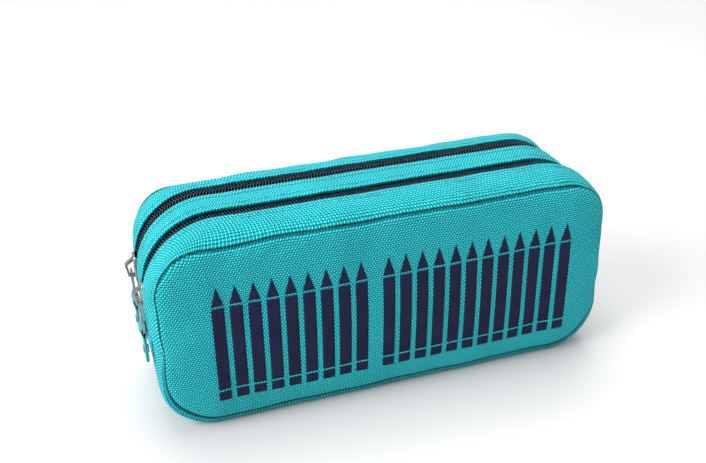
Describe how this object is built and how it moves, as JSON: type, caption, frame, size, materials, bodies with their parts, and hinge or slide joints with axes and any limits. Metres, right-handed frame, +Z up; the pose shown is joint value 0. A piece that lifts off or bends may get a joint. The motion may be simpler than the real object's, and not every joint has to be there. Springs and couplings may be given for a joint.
{
  "type": "pencil case",
  "caption": "Soft padded pencil case with zipped pockets either side of a divider, metal sliders and fabric pull tabs.",
  "frame": {"origin": "middle of the flat underside, on the surface that the case stands on", "axes": "+X along the case's length, with both closed sliders at -X; +Y from the printed front to the back; +Z up"},
  "size_m": [0.2076, 0.0618, 0.09],
  "materials": {
    "canvas": "teal plain-weave canvas, matte",
    "foam": "soft open-cell padding",
    "lining": "thin woven polyester lining",
    "binding": "woven binding tape",
    "zip_tape": "dark navy woven zip tape",
    "zip_coil": "dark navy nylon coil, satin",
    "zip_metal": "nickel-plated die casting",
    "pull_tab": "teal woven strap",
    "print_ink": "matte dark navy screen-print ink"
  },
  "bodies": {
    "shell": {"middle_strip": "canvas", "bottom_gusset": "canvas", "bottom_gusset_foam": "foam", "bottom_gusset_lining": "lining", "divider": "lining", "front_zip_inner_tape": "zip_tape", "front_zip_inner_coil": "zip_coil", "back_zip_inner_tape": "zip_tape", "back_zip_inner_coil": "zip_coil", "zip_inner_top_stops": "zip_metal", "zip_bottom_stops": "zip_metal"},
    "front_cover": {"front_panel": "canvas", "front_panel_foam": "foam", "front_panel_lining": "lining", "front_seam_binding": "binding", "front_strip": "canvas", "front_zip_outer_tape": "zip_tape", "front_zip_outer_coil": "zip_coil", "front_zip_outer_top_stop": "zip_metal", "front_print": "print_ink"},
    "back_cover": {"back_panel": "canvas", "back_panel_foam": "foam", "back_panel_lining": "lining", "back_seam_binding": "binding", "back_strip": "canvas", "back_zip_outer_tape": "zip_tape", "back_zip_outer_coil": "zip_coil", "back_zip_outer_top_stop": "zip_metal"},
    "front_slider": {"front_slider": "zip_metal"},
    "front_puller": {"front_puller": "zip_metal"},
    "front_pull_tab": {"front_pull_tab": "pull_tab", "front_tab_rivet": "zip_metal"},
    "back_slider": {"back_slider": "zip_metal"},
    "back_puller": {"back_puller": "zip_metal"},
    "back_pull_tab": {"back_pull_tab": "pull_tab", "back_tab_rivet": "zip_metal"}
  },
  "joints": [
    {"name": "front_mouth", "type": "hinge", "parent": "shell", "child": "front_cover", "pos_m": [0, -0.0308, 0.005], "axis": [1, 0, 0], "range_deg": [0, 12], "stiffness_Nm_per_rad": 0.35, "deforming": ["front_zip_outer_tape", "front_zip_outer_coil"]},
    {"name": "front_slider_travel", "type": "hinge", "parent": "shell", "child": "front_slider", "pos_m": [-0.071, -0.0118, 0.06], "axis": [0, 1, 0], "range_deg": [0, 90]},
    {"name": "front_puller_swing", "type": "hinge", "parent": "front_slider", "child": "front_puller", "pos_m": [-0.1037, -0.0118, 0.0579], "axis": [0, 1, 0], "range_deg": [0, 150]},
    {"name": "front_tab_swing", "type": "hinge", "parent": "front_puller", "child": "front_pull_tab", "pos_m": [-0.1037, -0.0118, 0.0441], "axis": [0, 1, 0], "range_deg": [0, 60]},
    {"name": "back_mouth", "type": "hinge", "parent": "shell", "child": "back_cover", "pos_m": [0, 0.0308, 0.005], "axis": [-1, 0, 0], "range_deg": [0, 12], "stiffness_Nm_per_rad": 0.35, "deforming": ["back_zip_outer_tape", "back_zip_outer_coil"]},
    {"name": "back_slider_travel", "type": "hinge", "parent": "shell", "child": "back_slider", "pos_m": [-0.071, 0.0118, 0.06], "axis": [0, 1, 0], "range_deg": [0, 90]},
    {"name": "back_puller_swing", "type": "hinge", "parent": "back_slider", "child": "back_puller", "pos_m": [-0.1037, 0.0118, 0.0579], "axis": [0, 1, 0], "range_deg": [0, 150]},
    {"name": "back_tab_swing", "type": "hinge", "parent": "back_puller", "child": "back_pull_tab", "pos_m": [-0.1037, 0.0118, 0.0441], "axis": [0, 1, 0], "range_deg": [0, 60]}
  ]
}
